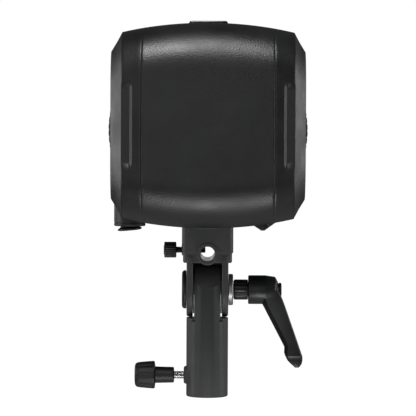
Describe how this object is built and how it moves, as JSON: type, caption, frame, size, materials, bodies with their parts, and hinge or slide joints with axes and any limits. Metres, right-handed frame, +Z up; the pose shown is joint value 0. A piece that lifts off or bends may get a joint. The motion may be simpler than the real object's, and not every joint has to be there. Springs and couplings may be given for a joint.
{
  "type": "monolight strobe",
  "caption": "Compact studio flash head with a square protective front cap, rear control panel, and a tilting stand bracket with an umbrella hole and clamp lever.",
  "frame": {"origin": "centre of the stand socket's mouth, at the receiver tube's lower end", "axes": "+Z up along the stand tube, -Y the way the lamp fires, +X to the right of someone facing the cap"},
  "size_m": [0.1633, 0.2602, 0.3182],
  "materials": {
    "cast_metal": "satin black powder coat on a die casting",
    "shell_plastic": "fine-grained black moulded plastic",
    "cap_plastic": "satin black moulded plastic with a fine grain",
    "knob_plastic": "matt black moulded plastic",
    "lever_plastic": "satin black glass-filled plastic",
    "bare_steel": "turned steel",
    "black_steel": "black oxide",
    "polished_steel": "polished nickel-plated steel",
    "window_plastic": "dark infrared-pass plastic",
    "display_glass": "glossy display cover",
    "reflector_metal": "polished aluminium",
    "clear_glass": "clear glass",
    "frosted_glass": "frosted quartz tube",
    "lamp_lens": "yellow phosphor under clear lens",
    "ceramic_white": "unglazed ceramic",
    "heat_metal": "extruded aluminium",
    "board": "green solder resist",
    "capacitor_sleeve": "dark shrink sleeve",
    "transformer_tape": "yellow tape",
    "bracket_zinc": "zinc-plated steel",
    "button_rubber": "dark grey silicone rubber"
  },
  "bodies": {
    "receiver": {"receiver_casting": "cast_metal"},
    "head": {"bracket_block": "cast_metal", "umbrella_sleeve": "bare_steel", "pivot_bolt": "bare_steel", "pivot_disc": "shell_plastic", "friction_washer_left": "bare_steel", "friction_washer_right": "bare_steel", "pivot_washer": "polished_steel", "mount_frame": "shell_plastic", "plunger_spring": "bare_steel", "slave_sensor_window": "window_plastic", "housing_upper": "shell_plastic", "housing_lower": "shell_plastic", "bracket_screw_front": "bare_steel", "bracket_screw_rear": "bare_steel", "reflector_plate": "reflector_metal", "lamp_base": "ceramic_white", "flash_tube": "frosted_glass", "modelling_lamp": "lamp_lens", "glass_dome": "clear_glass", "heat_sink": "heat_metal", "fan_frame": "shell_plastic", "capacitor_1": "capacitor_sleeve", "capacitor_2": "capacitor_sleeve", "capacitor_3": "capacitor_sleeve", "capacitor_bracket": "bracket_zinc", "power_board": "board", "control_board": "board", "trigger_transformer": "transformer_tape", "rear_panel": "shell_plastic", "display_window": "display_glass", "mains_inlet": "shell_plastic", "sync_jack": "bare_steel", "usb_port": "bare_steel", "panel_screw_1": "black_steel", "panel_screw_2": "black_steel", "panel_screw_3": "black_steel", "panel_screw_4": "black_steel"},
    "receiver_screw": {"receiver_lock_screw": "bare_steel"},
    "receiver_knob": {"receiver_knob": "knob_plastic"},
    "umbrella_screw": {"umbrella_lock_screw": "black_steel"},
    "umbrella_knob": {"umbrella_knob": "knob_plastic"},
    "clamp_insert": {"lever_insert": "lever_plastic", "lever_screw": "bare_steel"},
    "clamp_lever": {"lever_handle": "lever_plastic", "lever_cap": "lever_plastic", "lever_spring": "bare_steel"},
    "lock_ring": {"lock_ring": "shell_plastic"},
    "release_plunger": {"release_plunger": "shell_plastic"},
    "front_cap": {"front_cap": "cap_plastic"},
    "fan_rotor": {"fan_rotor": "shell_plastic"},
    "control_dial": {"control_dial": "knob_plastic"},
    "power_rocker": {"power_rocker": "window_plastic"},
    "button_menu": {"button_menu": "button_rubber"},
    "button_lamp": {"button_lamp": "button_rubber"},
    "button_sound": {"button_sound": "button_rubber"},
    "button_test": {"button_test": "button_rubber"},
    "fuse_drawer": {"fuse_drawer": "shell_plastic"}
  },
  "joints": [
    {"name": "head_tilt", "type": "hinge", "parent": "receiver", "child": "head", "pos_m": [0, 0.0068, 0.0909], "axis": [1, 0, 0], "range_deg": [-90, 55]},
    {"name": "receiver_knob_turn", "type": "hinge", "parent": "receiver_screw", "child": "receiver_knob", "pos_m": [0, 0, 0.0181], "axis": [1, 0, 0], "range_deg": [-1098, 2178]},
    {"name": "receiver_screw_travel", "type": "slide", "parent": "receiver", "child": "receiver_screw", "axis": [1, 0, 0], "range_m": [-0.003, 0.006]},
    {"name": "umbrella_knob_turn", "type": "hinge", "parent": "umbrella_screw", "child": "umbrella_knob", "pos_m": [0, -0.012, 0.1258], "axis": [1, 0, 0], "range_deg": [-1822, 742]},
    {"name": "umbrella_screw_travel", "type": "slide", "parent": "head", "child": "umbrella_screw", "axis": [1, 0, 0], "range_m": [-0.005, 0.002]},
    {"name": "clamp_turn", "type": "hinge", "parent": "head", "child": "clamp_insert", "pos_m": [0, 0.0068, 0.0909], "axis": [1, 0, 0], "range_deg": [-75, 75]},
    {"name": "lever_lift", "type": "slide", "parent": "clamp_insert", "child": "clamp_lever", "axis": [1, 0, 0], "range_m": [0, 0.0045], "stiffness_N_per_m": 500, "springref_m": -0.004},
    {"name": "lock_ring_turn", "type": "hinge", "parent": "head", "child": "lock_ring", "pos_m": [0, -0.0787, 0.2274], "axis": [0, 1, 0], "range_deg": [-15, 0]},
    {"name": "plunger_pull", "type": "slide", "parent": "head", "child": "release_plunger", "axis": [0, 0, -1], "range_m": [0, 0.005], "stiffness_N_per_m": 600, "springref_m": -0.004},
    {"name": "cap_off", "type": "slide", "parent": "head", "child": "front_cap", "axis": [0, -1, 0], "range_m": [0, 0.12]},
    {"name": "fan_spin", "type": "hinge", "parent": "head", "child": "fan_rotor", "pos_m": [0, -0.0137, 0.247], "axis": [0, 1, 0], "continuous": true},
    {"name": "dial_turn", "type": "hinge", "parent": "head", "child": "control_dial", "pos_m": [0, 0.12, 0.201], "axis": [0, 1, 0], "continuous": true},
    {"name": "rocker_tip", "type": "hinge", "parent": "head", "child": "power_rocker", "pos_m": [0.04, 0.113, 0.184], "axis": [0, 0, 1], "range_deg": [-12, 0]},
    {"name": "press_menu", "type": "slide", "parent": "head", "child": "button_menu", "axis": [0, -1, 0], "range_m": [0, 0.0012], "stiffness_N_per_m": 300, "springref_m": -0.0015},
    {"name": "press_lamp", "type": "slide", "parent": "head", "child": "button_lamp", "axis": [0, -1, 0], "range_m": [0, 0.0012], "stiffness_N_per_m": 300, "springref_m": -0.0015},
    {"name": "press_sound", "type": "slide", "parent": "head", "child": "button_sound", "axis": [0, -1, 0], "range_m": [0, 0.0012], "stiffness_N_per_m": 300, "springref_m": -0.0015},
    {"name": "press_test", "type": "slide", "parent": "head", "child": "button_test", "axis": [0, -1, 0], "range_m": [0, 0.0012], "stiffness_N_per_m": 300, "springref_m": -0.0015},
    {"name": "fuse_drawer_pull", "type": "slide", "parent": "head", "child": "fuse_drawer", "axis": [0, 1, 0], "range_m": [0, 0.018]}
  ],
  "couplings": [
    {"joint": "receiver_knob_turn", "follows": "receiver_screw_travel", "rad_per_m": 6283.2},
    {"joint": "umbrella_knob_turn", "follows": "umbrella_screw_travel", "rad_per_m": 6283.2}
  ]
}
